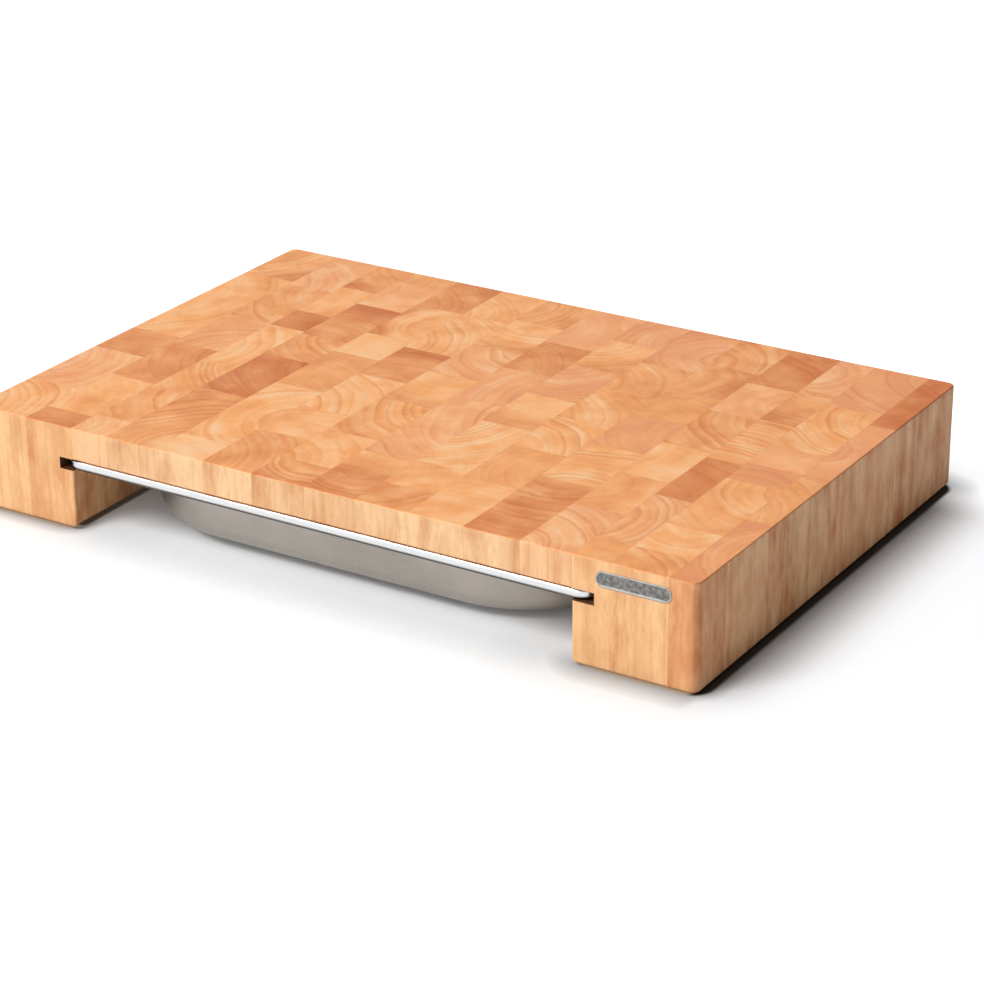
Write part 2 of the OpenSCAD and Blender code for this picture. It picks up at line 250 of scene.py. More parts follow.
    # The faces at the board's two ends are more figured than those in front and behind, and painted
    # darker as painted shade
    normal_x, _, normal_z = s.split(s.add("ShaderNodeTexCoord").outputs["Normal"])
    at_end_face = s.ramp(s.absolute(normal_x), 0.3, 0.8)
    figured = s.math("MULTIPLY_ADD", at_end_face, 0.35, 0.7)
    mottled = s.noise(s.combine(own_x, own_y, s.times(z, ALONG_MOTTLES)), 0.10, 4.0, 0.6)
    side_shade = s.plus(s.ramp(wide_streaks, 0.3, 0.7, -WIDE_STREAKS, WIDE_STREAKS, "LINEAR"),
                        s.ramp(mottled, 0.3, 0.7, -MOTTLES, MOTTLES, "LINEAR"))
    side_shade = s.plus(s.times(side_shade, figured), s.math("MULTIPLY_ADD", brown, 0.35, 0.1))
    # Painted shade: the end faces are made darker
    side_shade = s.math("MULTIPLY_ADD", at_end_face, END_FACE_PAINTED_SHADE, side_shade)
    side_shade = s.math("MULTIPLY_ADD", zone, ZONE_ON_SIDE, side_shade)
    side = s.mix(s.ramp(side_shade, 0.0, 1.0, kind="LINEAR"), SIDE_LIGHT, SIDE_BROWN)
    side = s.mix(s.times(pink, SIDE_PINK), side, END_PINK)
    side = s.shaded(s.times(line, SIDE_LINES), side, RING_SHADE)
    fine_streaks = s.times(s.ramp(streaks, 0.42, 0.72, 0.0, SIDE_STREAKS), figured)
    side = s.shaded(fine_streaks, side, RING_SHADE)
    side = s.shaded(s.times(dashes, SIDE_DASHES), side, PORE_SHADE)
    # The feet's wood is a little more orange than the slab's
    sideways = s.absolute(x)
    in_feet = s.ramp(sideways, *FEET_FROM_X)
    in_feet = s.times(in_feet, s.math("MULTIPLY_ADD", at_end_face, -0.6, 0.9))
    side = s.shaded(in_feet, side, FEET_TINT)

    is_end = s.ramp(s.absolute(normal_z), 0.35, 0.75)
    wood = s.mix(is_end, side, end)
    # Painted shade: the rounded edge at the top of the board's right end is painted darker
    arris_shade = s.times(s.ramp(normal_x, 0.2, 0.5), s.ramp(normal_z, 0.2, 0.5))
    wood = s.shaded(s.times(arris_shade, ARRIS_PAINTED_SHADE), wood, ARRIS_SHADE_TINT)

    # Glue lines at the planes where a stave meets its neighbours
    near_x = s.math("MINIMUM", s.minus(x, low_x), s.minus(high_x, x))
    near_y = s.math("MINIMUM", s.minus(y, low_y), s.minus(high_y, y))
    glue = s.ramp(s.math("MINIMUM", near_x, near_y), *GLUE_REACH, 1.0, 0.0)
    wood = s.shaded(s.times(glue, GLUE_LINES), wood, GLUE_SHADE)

    # Painted shade: the grooves' faces are painted dark, as the shade deep inside them
    in_width = s.times(s.math("GREATER_THAN", sideways, GROOVE_FROM_X),
                       s.math("LESS_THAN", sideways, GROOVE_TO_X))
    in_height = s.times(s.math("GREATER_THAN", z, GROOVE_LOW), s.math("LESS_THAN", z, GROOVE_HIGH))
    in_groove = s.times(in_width, in_height)
    wood = s.mix(s.times(in_groove, s.ramp(streaks, 0.3, 0.7, 0.86, 0.97)), wood, GROOVE_PAINTED_SHADE)
    s.wire("Base Color", wood)

    # Rings, pores, streaks, dashes and glue lines lie a little deeper than the rest
    s.wire("Roughness", s.plus(s.ramp(cloud, 0.3, 0.7, 0.48, 0.58), s.times(band, 0.06)))
    end_height = s.plus(s.times(band, -0.5), s.times(pores, -0.9))
    side_height = s.plus(s.times(streaks, -0.8), s.times(dashes, -0.6))
    end_height = s.times(end_height, is_end)
    height = s.math("MULTIPLY_ADD", side_height, s.minus(1.0, is_end), end_height)
    height = s.minus(height, s.times(glue, 0.6))
    s.wire("Normal", s.bump(height, 0.2, WOOD_RELIEF))
    return s.material


# Heights above the rim's lowest point, in mm, over which its curled edge loses the rim's painted
# highlight and is painted dark, as painted shade
CURL_HIGHLIGHT_FADES, CURL_PAINTED_SHADE = (1.0, 2.8), (0.3, 0.7)
POLISHING_STRETCH = 0.05
MARKS = 0.35, 0.65
STEEL_RELIEF = 0.00005


def tray_surface():
    """Satin stainless sheet: fine cross-hatched polishing marks and soft clouds. The bowl is
    lighter inside; its outside is darker as painted shade. The rim is smoother, more polished
    steel, its brighter colour a painted highlight, and its curled underside is painted dark as
    painted shade."""
    s = Surface("satin_steel", {"Metallic": 1.0, "Roughness": 0.35})
    place = s.millimetres()
    x, y, z = s.split(place)
    rim = s.attribute("polish_and_highlight", "Fac")
    fade_from, fade_to = (RIM_BOTTOM + rise for rise in CURL_HIGHLIGHT_FADES)
    dark_from, dark_to = (RIM_BOTTOM + rise for rise in CURL_PAINTED_SHADE)
    # Painted shade: below the rim's bright face the curl loses the painted highlight and is painted
    # dark
    curled = s.times(rim, s.ramp(z, fade_from, fade_to, 1.0, 0.0))
    dark = s.times(curled, s.ramp(z, dark_from, dark_to))
    along = s.noise(s.combine(s.times(x, POLISHING_STRETCH), y, z), 1.6, 3.0, 0.6)
    across = s.noise(s.combine(x, s.times(y, POLISHING_STRETCH), z), 1.6, 3.0, 0.6)
    marks = s.times(s.plus(along, across), 0.5)
    clouds = s.noise(place, 0.02, 3.0)
    # The bowl's outside is given darker colours than its inside: painted shade from the board above
    # it
    satin = s.mix(s.ramp(clouds, 0.3, 0.7), colour(176, 168, 160), colour(162, 155, 147))
    satin = s.mix(s.ramp(marks, *MARKS, 0.0, 0.5), satin, colour(187, 180, 172))
    lighter = s.mix(s.ramp(marks, *MARKS), colour(198, 194, 189), colour(212, 209, 205))
    satin = s.mix(s.attribute("inside", "Fac"), satin, lighter)
    # Painted highlight: the rim is given a brighter colour than the rest of the sheet; its lower
    # roughness is its real polish
    bright = s.mix(s.ramp(marks, *MARKS), colour(222, 223, 224), colour(232, 233, 234))
    steel = s.mix(s.minus(rim, curled), satin, bright)
    # The dark colour is the curl's painted shade
    s.wire("Base Color", s.mix(dark, steel, colour(62, 55, 48)))
    rough = s.plus(s.ramp(marks, *MARKS, 0.36, 0.46), s.ramp(clouds, 0.3, 0.7, -0.03, 0.03))
    s.wire("Roughness", s.minus(rough, s.times(rim, 0.14)))
    s.wire("Normal", s.bump(marks, 0.12, STEEL_RELIEF))
    return s.material


def plate_surface():
    """Dark antique metal, rubbed bright on its raised border."""
    s = Surface("antique_metal", {"Metallic": 1.0, "Roughness": 0.4})
    place = s.millimetres()
    worn = s.attribute("worn", "Fac")
    pits = s.noise(place, 1.3, 4.0, 0.65)
    scuffs = s.noise(place, 0.42, 3.0)
    patina = s.mix(s.ramp(scuffs, 0.34, 0.66), colour(112, 110, 107), colour(148, 146, 143))
    patina = s.mix(s.ramp(pits, 0.55, 0.75, 0.0, 0.6), patina, colour(84, 81, 77))
    bright = s.mix(s.ramp(pits, 0.35, 0.65), colour(158, 155, 150), colour(192, 189, 185))
    rubbed = s.times(worn, s.ramp(pits, 0.25, 0.5, 0.6, 1.0))
    s.wire("Base Color", s.mix(rubbed, patina, bright))
    s.wire("Roughness", s.ramp(pits, 0.3, 0.7, 0.42, 0.56))
    s.wire("Normal", s.bump(pits, 0.35, 0.0001))
    return s.material


def rubber_surface():
    """Matt moulded rubber with a fine texture and a little dust."""
    s = Surface("matt_rubber", {"Roughness": 0.75, "Specular IOR Level": 0.3})
    place = s.millimetres()
    grain = s.noise(place, 2.2, 3.0, 0.6)
    dust = s.ramp(s.noise(place, 0.22, 3.0), 0.5, 0.75)
    s.wire("Base Color", s.mix(s.times(dust, 0.35), colour(34, 33, 32), colour(78, 75, 71)))
    s.wire("Roughness", s.ramp(grain, 0.3, 0.7, 0.68, 0.84))
    s.wire("Normal", s.bump(grain, 0.4, 0.00012))
    return s.material


def zinc_surface():
    """Zinc-plated steel: a bluish sheen with small dull spots."""
    s = Surface("zinc_plate", {"Metallic": 1.0, "Roughness": 0.3})
    place = s.millimetres()
    spots = s.noise(place, 0.9, 4.0, 0.6)
    sheen = s.mix(s.ramp(spots, 0.4, 0.7), colour(206, 208, 212), colour(168, 168, 164))
    s.wire("Base Color", sheen)
    s.wire("Roughness", s.ramp(spots, 0.35, 0.7, 0.24, 0.42))
    s.wire("Normal", s.bump(spots, 0.2, 0.00008))
    return s.material


# ---------------------------------------------------------------- mesh tools


def new_piece(name, vertices, faces, material, values=None, sharp_angle=30):
    """An object from points in metres and faces, smooth except along sharp edges.
    values gives the numbers of each named attribute, one for each point."""
    mesh = bpy.data.meshes.new(name)
    mesh.from_pydata(vertices, [], faces)
    mesh.update()
    mesh.shade_smooth()
    mesh.set_sharp_from_angle(angle=math.radians(sharp_angle))
    for title, numbers in (values or {}).items():
        is_vector = hasattr(numbers[0], "__len__")
        layer = mesh.attributes.new(title, "FLOAT_VECTOR" if is_vector else "FLOAT", "POINT")
        flat = [part for number in numbers for part in number] if is_vector else numbers
        layer.data.foreach_set("vector" if is_vector else "value", flat)
    mesh.materials.append(material)
    piece = bpy.data.objects.new(name, mesh)
    bpy.context.scene.collection.objects.link(piece)
    weighted = piece.modifiers.new("flat_faces_lead", "WEIGHTED_NORMAL")
    weighted.keep_sharp = True
    return piece


def hand_over(piece, body, slot, *replaced):
    """Hangs the piece on its body's empty and hides the nodes that it stands for. slot, its finish,
    is not used.
    """
    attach(piece, body)
    if replaced:
        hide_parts(*replaced)


def arc(x, z, radius, start, end, steps=10):
    """Points of a section along an arc, with the angles in degrees."""
    points = []
    for n in range(steps + 1):
        angle = math.radians(start + (end - start) * n / steps)
        points.append((x + radius * math.cos(angle), z + radius * math.sin(angle)))
    return points


# ---------------------------------------------------------------- wood

# How each stave looks, from the back of the board to the front: how dark it is,
# whether it is pinkish, how strong its rings are, whether one side of it is darker, and on
# which side of it the rings' axis lies. The darker side is the one away from the axis.
STAVE_LOOKS = {
    "left_foot_outer_strip": [
        "mid zone nw", "light w", "brown n", "light pink w", "light rings sw"],
    "left_foot_inner_strip": [
        "light pink sw", "mid rings ne", "mid pink se", "brown ne", "light plain sw", "dark s"],
    "slab_strip_1": [
        "mid zone ne", "light plain w", "dark plain s", "light w", "light rings ne",
        "mid rings ne", "pale pink w"],
    "slab_strip_2": [
        "mid w", "light pink plain w", "brown zone s", "mid rings ne", "dark rings ne",
        "mid rings se"],
    "slab_strip_3": [
        "brown zone sw", "light zone e", "pale plain s", "mid plain s", "light rings e",
        "pale plain s"],
    "slab_strip_4": [
        "light sw", "light rings sw", "brown zone s", "pale rings sw", "light plain s", "mid sw"],
    "slab_strip_5": [
        "mid rings w", "light zone n", "light pink rings ne", "light plain zone n",
        "light rings ne", "light sw", "mid rings zone n"],
    "slab_strip_6": [
        "mid pink plain w", "brown sw", "mid pink e", "light pink rings ne", "mid plain zone n",
        "brown rings n"],
    "slab_strip_7": [
        "mid pink e", "light zone nw", "mid pink rings nw", "light plain zone n",
        "light rings nw", "light plain se", "brown nw"],
    "slab_strip_8": [
        "mid pink zone e", "mid rings sw", "light sw", "light rings sw", "mid plain e",
        "light plain s"],
    "slab_strip_9": [
        "mid rings sw", "mid zone w", "mid plain s", "brown pink plain e", "light rings s",
        "brown rings n"],
    "slab_strip_10": [
        "dark sw", "light pink plain e", "mid rings ne", "light plain w", "mid plain w",
        "light pink rings sw"],
    "right_foot_inner_strip": [
        "light pink w", "mid zone n", "light rings s", "dark s", "light pink rings w",
        "mid plain s"],
    "right_foot_middle_strip": [
        "brown pink ne", "light rings ne", "light pink plain s", "brown pink s",
        "light rings ne", "light n", "mid rings sw"],
    "right_foot_outer_strip": ["dark w", "brown pink w", "mid sw", "mid pink zone e"],
}
BROWN = {"pale": -0.12, "light": 0.08, "mid": 0.27, "brown": 0.48, "dark": 0.78}
CONTRAST = {"plain": 0.28, "rings": 1.0}
USUAL_CONTRAST = 0.58
COMPASS = {"e": 0, "ne": 45, "n": 90, "nw": 135, "w": 180, "sw": 225, "s": 270, "se": 315}
HEADING_SPREAD = 14  # degrees
AXIS_BEYOND = 4, 26  # how far outside the stave its rings' axis lies, in mm
RING_SPACING = 4.5, 7.5  # mm
TONE_SPREAD = 0.05
PINKISH, PLAIN = (0.6, 0.8), (0.0, 0.1)
ZONE_DEPTH, FAINT_ZONE_DEPTH = 0.42, (-0.08, 0.16)
# All in metres: what counts as inside the board's box and not on its side, how far before its
# joint a stave's CAD solid ends, and what is left of that gap
STAVE_ENDS, GLUE_GAP, HAIR = 0.0001, 0.00005, 0.000005
FAR = 1.0e4


def islands(mesh):
    """The mesh's separate solids, each as its points and its faces."""
    shape = bmesh.new()
    shape.from_mesh(mesh)
    bmesh.ops.remove_doubles(shape, verts=shape.verts, dist=1e-6)
    seen, found = set(), []
    for first in shape.verts:
        if first in seen:
            continue
        seen.add(first)
        members, open_ends = [], [first]
        while open_ends:
            vertex = open_ends.pop()
            members.append(vertex)
            for edge in vertex.link_edges:
                other = edge.other_vert(vertex)
                if other not in seen:
                    seen.add(other)
                    open_ends.append(other)
        number = {vertex: n for n, vertex in enumerate(members)}
        faces = {face for vertex in members for face in vertex.link_faces}
        faces = sorted(faces, key=lambda face: face.index)
        found.append(([vertex.co.copy() for vertex in members],
                      [[number[vertex] for vertex in face.verts] for face in faces]))
    shape.free()
    return found


def stave_numbers(look, low, high, seed):
    """What the shader reads of a stave with that look, in mm: the rings' axis and spacing, its
    tone, and where its darker zone starts, ends and how dark it is."""
    chance = random.Random(seed)
    words = look.split()
    brown = next(BROWN[word] for word in words if word in BROWN)
    contrast = next((CONTRAST[word] for word in words if word in CONTRAST), USUAL_CONTRAST)
    heading = next(COMPASS[word] for word in words if word in COMPASS)
    heading = math.radians(heading + chance.uniform(-HEADING_SPREAD, HEADING_SPREAD))
    width, depth = (high.x - low.x) / MM, (high.y - low.y) / MM
    across = abs(width * math.cos(heading)) + abs(depth * math.sin(heading))
    reach = 0.5 * across + chance.uniform(*AXIS_BEYOND)
    rings = ((low.x + high.x) / 2 / MM + reach * math.cos(heading),
             (low.y + high.y) / 2 / MM + reach * math.sin(heading),
             chance.uniform(*RING_SPACING))
    tone = (brown + chance.uniform(-TONE_SPREAD, TONE_SPREAD),
            chance.uniform(*(PINKISH if "pink" in words else PLAIN)),
            contrast)
    if "zone" in words:
        zone = (reach + 0.08 * across, reach + 0.42 * across, ZONE_DEPTH)
    else:
        zone = (reach - 0.3 * across, reach + 0.4 * across, chance.uniform(*FAINT_ZONE_DEPTH))
    return rings, tone, zone


def wood_strip(node, board_low, board_high, material, first_seed):
    """One glued-up strip: its staves from the back to the front, closed up at the glue lines,
    with the numbers that the shader reads."""
    staves = islands(nodes[node].data)
    staves.sort(key=lambda stave: -max(point.y for point in stave[0]))
    vertices, faces = [], []
    titles = ("stave_rings", "stave_look", "stave_band", "stave_low", "stave_high", "stave_seed")
    values = {title: [] for title in titles}
    for n, (points, polygons) in enumerate(staves):
        low = Vector(min(point[i] for point in points) for i in range(3))
        high = Vector(max(point[i] for point in points) for i in range(3))
        glue_low, glue_high = [-FAR, -FAR, -FAR], [FAR, FAR, FAR]
        for i in (0, 1):
            if low[i] > board_low[i] + STAVE_ENDS:
                glue_low[i] = (low[i] - GLUE_GAP) / MM
                for point in points:
                    if point[i] < low[i] + GLUE_GAP:
                        point[i] -= GLUE_GAP - HAIR
            if high[i] < board_high[i] - STAVE_ENDS:
                glue_high[i] = (high[i] + GLUE_GAP) / MM
                for point in points:
                    if point[i] > high[i] - GLUE_GAP:
                        point[i] += GLUE_GAP - HAIR
        seed = first_seed + n
        rings, tone, zone = stave_numbers(STAVE_LOOKS[node][n], low, high, seed)
        faces += [[len(vertices) + corner for corner in polygon] for polygon in polygons]
        vertices += points
        numbers = (rings, tone, zone, glue_low, glue_high, seed * 0.731 % 10)
        for title, number in zip(titles, numbers):
            values[title] += [number] * len(points)
    piece = new_piece(node + "_wood", vertices, faces, material, values)
    hand_over(piece, "board", "wood", node)


def make_wood():
    material = wood_surface()
    boxes = [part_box(node) for node in STAVE_LOOKS]
    board_low = [min(low[i] for low, high in boxes) for i in range(3)]
    board_high = [max(high[i] for low, high in boxes) for i in range(3)]
    for n, node in enumerate(STAVE_LOOKS):
        wood_strip(node, board_low, board_high, material, 10 * n)


# ---------------------------------------------------------------- tray

SHEET = 0.8
RIM_LENGTH, RIM_DEPTH, RIM_CORNER = 354, 324, 12
RIM_TOP, RIM_BOTTOM = 44.3, 38.3
RIM_ROLL, RIM_CURL = 2.0, 40
BOWL_LENGTH, BOWL_DEPTH, BOWL_CORNER = 325, 291, 80
BOWL_BOTTOM = 5.0
WALL_SLOPE = 3
SHOULDER, FLOOR_ROUND = 4, 11
CORNER_STEPS = 24


def tray_profile():
    """The tray's section as (which outline it follows, reach, height), from the middle of the
    floor out over the rim, round its curled edge and back along the underside."""
    slope = math.radians(WALL_SLOPE)
    mouth = BOWL_CORNER + (SHOULDER - SHEET - SHOULDER * math.sin(slope)) / math.cos(slope)
    drop = RIM_TOP - BOWL_BOTTOM - FLOOR_ROUND
    floor_reach = BOWL_CORNER - (FLOOR_ROUND + drop * math.sin(slope)) / math.cos(slope)
    floor_z, shoulder_z = BOWL_BOTTOM + FLOOR_ROUND, RIM_TOP - SHOULDER
    bend, inside = RIM_CORNER - RIM_ROLL, RIM_ROLL - SHEET
    upper, lower = RIM_TOP - RIM_ROLL, RIM_BOTTOM + RIM_ROLL
    curl = -90 - RIM_CURL
    bowl_inside = (arc(floor_reach, floor_z, FLOOR_ROUND - SHEET, -90, -WALL_SLOPE)
                   + arc(mouth, shoulder_z, SHOULDER, 180 - WALL_SLOPE, 90))
    rim_outside = arc(bend, upper, RIM_ROLL, 90, 0) + arc(bend, lower, RIM_ROLL, 0, curl, 14)
    rim_inside = arc(bend, lower, inside, curl, 0, 14) + arc(bend, upper, inside, 0, 90)
    bowl_outside = (arc(mouth, shoulder_z, SHOULDER - SHEET, 90, 180 - WALL_SLOPE)
                    + arc(floor_reach, floor_z, FLOOR_ROUND, -WALL_SLOPE, -90))
    return ([("bowl_inside", *point) for point in bowl_inside]
            + [("rim", *point) for point in rim_outside + rim_inside]
            + [("bowl_outside", *point) for point in bowl_outside])


def make_tray():
    bowl = BOWL_LENGTH / 2 - BOWL_CORNER, BOWL_DEPTH / 2 - BOWL_CORNER
    outlines = {"rim": (RIM_LENGTH / 2 - RIM_CORNER, RIM_DEPTH / 2 - RIM_CORNER),
                "bowl_inside": bowl, "bowl_outside": bowl}
    profile = tray_profile()
    stations = []
    for quarter in range(4):
        side_x = 1 if quarter in (0, 3) else -1
        side_y = 1 if quarter < 2 else -1
        for n in range(CORNER_STEPS + 1):
            angle = math.radians(90 * quarter + 90 * n / CORNER_STEPS)
            stations.append((side_x, side_y, math.cos(angle), math.sin(angle)))
    vertices, polish_and_highlight, inside = [], [], []
    for side_x, side_y, along_x, along_y in stations:
        for outline, reach, height in profile:
            centre_x, centre_y = outlines[outline]
            vertices.append((MM * (side_x * centre_x + reach * along_x),
                             MM * (side_y * centre_y + reach * along_y), MM * height))
            polish_and_highlight.append(1.0 if outline == "rim" else 0.0)
            inside.append(1.0 if outline == "bowl_inside" else 0.0)
    rows, size = len(stations), len(profile)
    faces = []
    for row in range(rows):
        following = (row + 1) % rows
        for n in range(size - 1):
            faces.append([row * size + n, following * size + n,
                          following * size + n + 1, row * size + n + 1])
    faces.append([row * size for row in range(rows)])
    faces.append([row * size + size - 1 for row in reversed(range(rows))])
    values = {"polish_and_highlight": polish_and_highlight, "inside": inside}
    tray = new_piece("drawer_tray_sheet", vertices, faces, tray_surface(), values)
    hand_over(tray, "tray", "tray_steel", "drawer_tray")


# ---------------------------------------------------------------- plate, screws, rubber feet


BORDER_WIDTH, BORDER_HEIGHT, BORDER_ROUND = 1.0, 0.5, 0.22
BORDER_FOOT = (0.1, 0.1), (0.25, 0.0)  # past the border, and before the field
WORN_HEIGHT = 0.15  # the border's metal is worn bright where it stands higher than this
PLATE_END_STEPS = 40


def make_plate():
    """The plate: a bare field inside a raised border with round edges."""
    low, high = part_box("front_plate")
    centre_x, centre_z = (low.x + high.x) / 2 / MM, (low.z + high.z) / 2 / MM
    half_height = (high.z - low.z) / 2 / MM
    half_straight = (high.x - low.x) / 2 / MM - half_height
    front, back = low.y / MM, high.y / MM
    field = front + BORDER_HEIGHT
    rounded = front + BORDER_ROUND
    inner = BORDER_WIDTH - BORDER_ROUND
    # Reach inwards from the edge, and depth along Y
    profile = [(0, back), (0, rounded)]
    profile += [(BORDER_ROUND - u, rounded - v) for u, v in arc(0, 0, BORDER_ROUND, 0, 90, 4)]
    profile += [(inner + u, rounded - v) for u, v in arc(0, 0, BORDER_ROUND, 90, 0, 4)]
    profile += [(BORDER_WIDTH + past, field - before) for past, before in BORDER_FOOT]
    vertices, worn = [], []
    rows, size = 2 * PLATE_END_STEPS + 2, len(profile)
    for n in range(rows):
        side = 1 if n <= PLATE_END_STEPS else -1
        angle = math.radians(-90 + 180 * (n if side > 0 else n - 1) / PLATE_END_STEPS)
        for inwards, depth in profile:
            reach = half_height - inwards
            vertices.append((MM * (centre_x + side * half_straight + reach * math.cos(angle)),
                             MM * depth, MM * (centre_z + reach * math.sin(angle))))
            worn.append(1.0 if depth < field - WORN_HEIGHT else 0.0)
    faces = []
    for row in range(rows):
        following = (row + 1) % rows
        for n in range(size - 1):
            faces.append([row * size + n, row * size + n + 1,
                          following * size + n + 1, following * size + n])
    faces.append([row * size for row in reversed(range(rows))])
    faces.append([row * size + size - 1 for row in range(rows)])
    plate = new_piece("front_plate_bare", vertices, faces, plate_surface(), {"worn": worn})
    hand_over(plate, "board", "plate_metal", "front_plate")


def revolved(profile, steps):
    """Points and faces of a closed shape turned about the Z axis. The profile runs from the
    axis below to the axis above, as (radius, height)."""
    inner = profile[1:-1]
    vertices = [(0, 0, profile[0][1] * MM), (0, 0, profile[-1][1] * MM)]
    for n in range(steps):
        angle = 2 * math.pi * n / steps
        vertices += [(MM * radius * math.cos(angle), MM * radius * math.sin(angle), MM * height)
                     for radius, height in inner]
    faces, size = [], len(inner)
    for n in range(steps):
        here, there = 2 + n * size, 2 + (n + 1) % steps * size
        faces.append([0, there, here])
        faces += [[here + k, there + k, there + k + 1, here + k + 1] for k in range(size - 1)]
        faces.append([1, here + size - 1, there + size - 1])
    return vertices, faces


CROSS_REACH, CROSS_HALF_WIDTH, CROSS_DEPTH, CROSS_TAPER = 2.1, 0.5, 1.3, 0.55


def cut_cross(vertices, faces, face_height):
    """The same shape with a cross-shaped recess for a driver, cut up into its lowest face."""
    shape = bpy.data.meshes.new("screw_blank")
    shape.from_pydata(vertices, [], faces)
    blank = bpy.data.objects.new("screw_blank", shape)
    end, half = CROSS_REACH * MM, CROSS_HALF_WIDTH * MM
    below, above = (face_height - 0.3) * MM, (face_height + CROSS_DEPTH) * MM
    outline = [(end, -half), (end, half), (half, half), (half, end), (-half, end), (-half, half),
               (-end, half), (-end, -half), (-half, -half), (-half, -end), (half, -end),
               (half, -half)]
    corners = []
    for height, taper in ((below, 1.0), (above, CROSS_TAPER)):
        for x, y in outline:
            corners.append((x * (taper if abs(x) == end else 1),
                            y * (taper if abs(y) == end else 1), height))
    count = len(outline)
    sides = [list(reversed(range(count))), list(range(count, 2 * count))]
    sides += [[n, (n + 1) % count, count + (n + 1) % count, count + n] for n in range(count)]
    tool = bpy.data.meshes.new("screw_cross")
    tool.from_pydata(corners, [], sides)
    cross = bpy.data.objects.new("screw_cross", tool)
    for item in (blank, cross):
        bpy.context.scene.collection.objects.link(item)
    cut = blank.modifiers.new("cross", "BOOLEAN")
    cut.operation, cut.solver, cut.object = "DIFFERENCE", "EXACT", cross
    bpy.context.view_layer.update()
    result = blank.evaluated_get(bpy.context.evaluated_depsgraph_get()).to_mesh()
    made = ([vertex.co.copy() for vertex in result.vertices],
            [list(polygon.vertices) for polygon in result.polygons])
    for item in (blank, cross):
        bpy.data.objects.remove(item)
    return made


HEAD_LOW, HEAD_TOP, HEAD_RADIUS, HEAD_EDGE = 0.8, 3.0, 3.5, 0.25
HEAD_STEPS, SCREW_STEPS = 8, 40
SHANK, CORE, PITCH = 1.75, 1.25, 1.3
BARE_SHANK, POINT_LENGTH, TIP = 3.0, 2.5, 19.0


def make_screws():
    """Four wood screws, heads down: a domed head with a cross, a shank with a thread, a point."""
    dome_rise = (HEAD_TOP - HEAD_LOW) / 2
    dome = (HEAD_RADIUS ** 2 + dome_rise ** 2) / (2 * dome_rise)
    profile = [(0, HEAD_LOW)]
    for n in range(1, HEAD_STEPS + 1):
        radius = HEAD_RADIUS * n / HEAD_STEPS
        profile.append((radius, HEAD_LOW + dome - math.sqrt(dome ** 2 - radius ** 2)))
    profile += [(HEAD_RADIUS, HEAD_TOP - HEAD_EDGE), (HEAD_RADIUS - HEAD_EDGE, HEAD_TOP),
                (SHANK, HEAD_TOP)]
    height = HEAD_TOP + BARE_SHANK
    profile.append((SHANK, height))
    while height + PITCH < TIP - POINT_LENGTH:
        profile += [(CORE, height + 0.35 * PITCH), (CORE, height + 0.65 * PITCH),
                    (SHANK, height + PITCH)]
        height += PITCH
    profile += [(CORE, height + 0.5 * PITCH), (0, TIP)]
    vertices, faces = cut_cross(*revolved(profile, SCREW_STEPS), HEAD_LOW)
    low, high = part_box("foot_screws")
    inset = HEAD_RADIUS * MM
    places = [(x, y) for x in (low.x + inset, high.x - inset)
              for y in (low.y + inset, high.y - inset)]
    points, polygons = [], []
    for number, (x, y) in enumerate(places):
        turn = Matrix.Rotation(0.4 + 1.1 * number, 3, "Z")
        polygons += [[len(points) + corner for corner in polygon] for polygon in faces]
        points += [turn @ Vector(vertex) + Vector((x, y, 0)) for vertex in vertices]
    screws = new_piece("foot_screws_threaded", points, polygons, zinc_surface(), sharp_angle=35)
    hand_over(screws, "board", "screw_steel", "foot_screws")


def make_rubber_feet():
    material = rubber_surface()
    for name, node in nodes.items():
        if name.startswith("rubber_foot"):
            if not node.material_slots:
                node.data.materials.append(material)
            for slot in node.material_slots:
                slot.material = material


# ---------------------------------------------------------------- studio

LIGHT_FROM_LEFT, LIGHT_FROM_RIGHT = 0.68, 0.20
KEY_POWER = 203
FILL_POWER = 2
LIT_POINT = Vector((0, 0, 0.03))
# Slightly cool, against the warm light that the wood throws on the floor
FLOOR_COLOUR = (0.780, 0.794, 0.804, 1)
FLOOR_WHITENING = (0.322, 0.327, 0.332, 1)
CONTACT_REACH = 0.06
# The floor under the two wooden feet, in mm: where it starts and ends, and how far its soft
# shade reaches
FEET_X = (-239, -170, 12), (166, 243, 20)
SHADOW_DEPTH, SHADOW_CORNER = 323, 12
CONTACT_SOFTNESS = 2.5
# Painted shadow in the gap under the feet, darkest along the right side, and a painted glow a
# little way into it
FEET_GAP_PAINTED_SHADOW = (0.26, 0.20, 0.15, 1)
RIGHT_GAP_PAINTED_SHADOW = (0.03, 0.022, 0.015, 1)
FRONT_GAP_GLOW = (0.26, 0.19, 0.13, 1)
# Where the floor's shades change over, in mm
SHADE_AT_ENDS = 140, 165
RIGHT_EDGE, BACK_CORNER = (236, 244), (118, 168)
FAINT_FROM_Y, FAINT_TO_Y, FAINT_HALF_LENGTH = (-200, -168), (-160, -138), (120, 210)
LIT_GAP_TO_X, LIT_GAP_FROM_Y = (233, 238), (153, 158)
FAINT_DEPTH, WHITER_BEHIND = 0.28, 2.2
FLOOR_HALF_SIZE = 8.0


def seen_directly(tree):
    """1 for what the camera sees, straight or in a metal surface, and 0 for the rest."""
    rays = tree.nodes.new("ShaderNodeLightPath").outputs
    seen = rays["Is Camera Ray"]
    for kind in ("Is Glossy Ray", "Is Transmission Ray"):
        larger = tree.nodes.new("ShaderNodeMath")
        larger.operation = "MAXIMUM"
        tree.links.new(seen, larger.inputs[0])
        tree.links.new(rays[kind], larger.inputs[1])
        seen = larger.outputs[0]
    return seen


